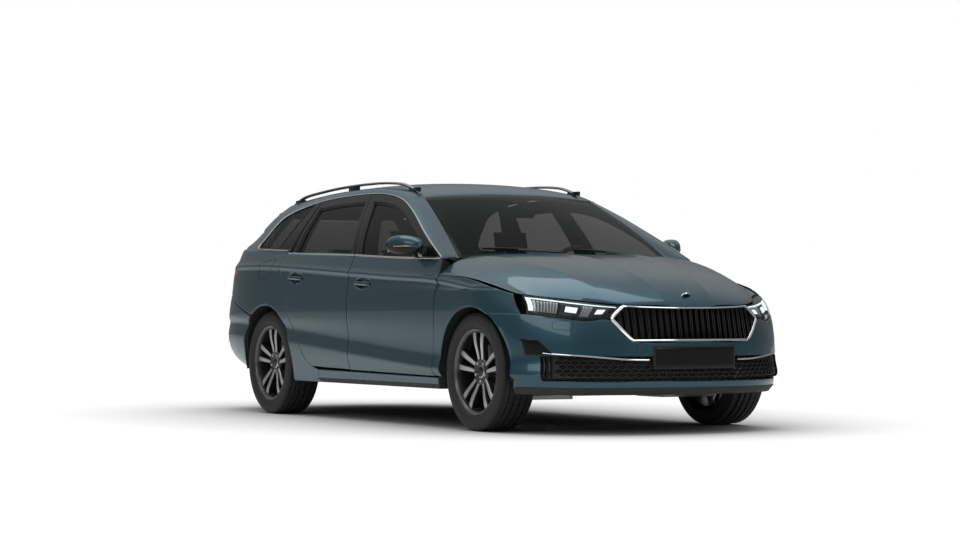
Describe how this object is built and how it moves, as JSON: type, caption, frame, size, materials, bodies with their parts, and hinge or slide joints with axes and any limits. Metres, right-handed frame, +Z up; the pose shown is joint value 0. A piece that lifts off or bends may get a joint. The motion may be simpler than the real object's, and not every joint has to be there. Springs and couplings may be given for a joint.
{
  "type": "station wagon",
  "caption": "Five-door family station wagon with opening doors, bonnet and tailgate, steered front wheels, roof rails, lamps and a furnished cabin.",
  "frame": {"origin": "on the ground under the centre of the bounding box", "axes": "+X forwards, +Y to the car's left, +Z up"},
  "size_m": [4.6931, 2.0026, 1.4677],
  "materials": {
    "paint": "metallic clear coat",
    "trim_black": "gloss",
    "dark_plastic": "grained",
    "glass": "tinted",
    "lamp_clear": "clear polycarbonate",
    "lamp_red": "red polycarbonate",
    "rail": "satin anodised",
    "alloy": "machined and lacquered",
    "tyre": "rubber",
    "steel": "cast and coated",
    "bright_steel": "stainless",
    "leather": "grained",
    "underbody": "coated"
  },
  "bodies": {
    "body_shell": {"floor_pan": "underbody", "side_frame_left": "paint", "side_frame_right": "paint", "roof_panel": "paint", "windscreen": "glass", "quarter_windows": "glass", "cowl_panel": "dark_plastic", "front_wing_left": "paint", "front_wing_right": "paint", "front_bumper": "paint", "rear_bumper": "paint", "radiator_grille": "trim_black", "lower_grille": "dark_plastic", "headlamps": "lamp_clear", "tail_lamps": "lamp_red", "roof_rails": "rail", "wheel_arch_liners": "dark_plastic", "dashboard": "dark_plastic", "front_seats": "leather", "rear_bench": "leather", "engine_block": "steel", "front_subframe": "steel", "rear_axle": "steel", "exhaust": "bright_steel"},
    "bonnet": {"bonnet": "paint"},
    "tailgate": {"tailgate": "paint", "tailgate_window": "glass"},
    "front_door_left": {"front_door_left": "paint", "front_door_window_left": "glass", "door_mirror_left": "paint"},
    "rear_door_left": {"rear_door_left": "paint", "rear_door_window_left": "glass"},
    "front_knuckle_left": {"front_knuckle_left": "steel"},
    "wheel_front_left": {"rim_front_left": "alloy", "tyre_front_left": "tyre"},
    "wheel_rear_left": {"rim_rear_left": "alloy", "tyre_rear_left": "tyre"},
    "front_door_right": {"front_door_right": "paint", "front_door_window_right": "glass", "door_mirror_right": "paint"},
    "rear_door_right": {"rear_door_right": "paint", "rear_door_window_right": "glass"},
    "front_knuckle_right": {"front_knuckle_right": "steel"},
    "wheel_front_right": {"rim_front_right": "alloy", "tyre_front_right": "tyre"},
    "wheel_rear_right": {"rim_rear_right": "alloy", "tyre_rear_right": "tyre"},
    "steering_wheel": {"steering_wheel": "dark_plastic"}
  },
  "joints": [
    {"name": "bonnet_hinge", "type": "hinge", "parent": "body_shell", "child": "bonnet", "pos_m": [1.063, 0, 0.985], "axis": [0, -1, 0], "range_deg": [0, 48]},
    {"name": "tailgate_hinge", "type": "hinge", "parent": "body_shell", "child": "tailgate", "pos_m": [-2.062, 0, 1.376], "axis": [0, 1, 0], "range_deg": [0, 78]},
    {"name": "front_door_left_hinge", "type": "hinge", "parent": "body_shell", "child": "front_door_left", "pos_m": [1.0635, 0.918, 0.6], "axis": [0, 0, -1], "range_deg": [0, 65]},
    {"name": "rear_door_left_hinge", "type": "hinge", "parent": "body_shell", "child": "rear_door_left", "pos_m": [-0.0495, 0.92, 0.6], "axis": [0, 0, -1], "range_deg": [0, 65]},
    {"name": "steer_left", "type": "hinge", "parent": "body_shell", "child": "front_knuckle_left", "pos_m": [1.454, 0.695, 0.33], "axis": [0, -0.2672, 0.9636], "range_deg": [-34, 34]},
    {"name": "wheel_front_left_spin", "type": "hinge", "parent": "front_knuckle_left", "child": "wheel_front_left", "pos_m": [1.454, 0.7715, 0.33], "axis": [0, 1, 0], "continuous": true},
    {"name": "wheel_rear_left_spin", "type": "hinge", "parent": "body_shell", "child": "wheel_rear_left", "pos_m": [-1.232, 0.7715, 0.33], "axis": [0, 1, 0], "continuous": true},
    {"name": "front_door_right_hinge", "type": "hinge", "parent": "body_shell", "child": "front_door_right", "pos_m": [1.0635, -0.918, 0.6], "axis": [0, 0, 1], "range_deg": [0, 65]},
    {"name": "rear_door_right_hinge", "type": "hinge", "parent": "body_shell", "child": "rear_door_right", "pos_m": [-0.0495, -0.92, 0.6], "axis": [0, 0, 1], "range_deg": [0, 65]},
    {"name": "steer_right", "type": "hinge", "parent": "body_shell", "child": "front_knuckle_right", "pos_m": [1.454, -0.695, 0.33], "axis": [0, 0.2672, 0.9636], "range_deg": [-34, 34]},
    {"name": "wheel_front_right_spin", "type": "hinge", "parent": "front_knuckle_right", "child": "wheel_front_right", "pos_m": [1.454, -0.7715, 0.33], "axis": [0, 1, 0], "continuous": true},
    {"name": "wheel_rear_right_spin", "type": "hinge", "parent": "body_shell", "child": "wheel_rear_right", "pos_m": [-1.232, -0.7715, 0.33], "axis": [0, 1, 0], "continuous": true},
    {"name": "steering_wheel_turn", "type": "hinge", "parent": "body_shell", "child": "steering_wheel", "pos_m": [0.47, 0.372, 0.9], "axis": [-0.9063, 0, 0.4226], "range_deg": [-520, 520]}
  ],
  "couplings": [
    {"joint": "steer_left", "follows": "steer_right", "ratio": 1},
    {"joint": "steering_wheel_turn", "follows": "steer_right", "ratio": 15}
  ]
}
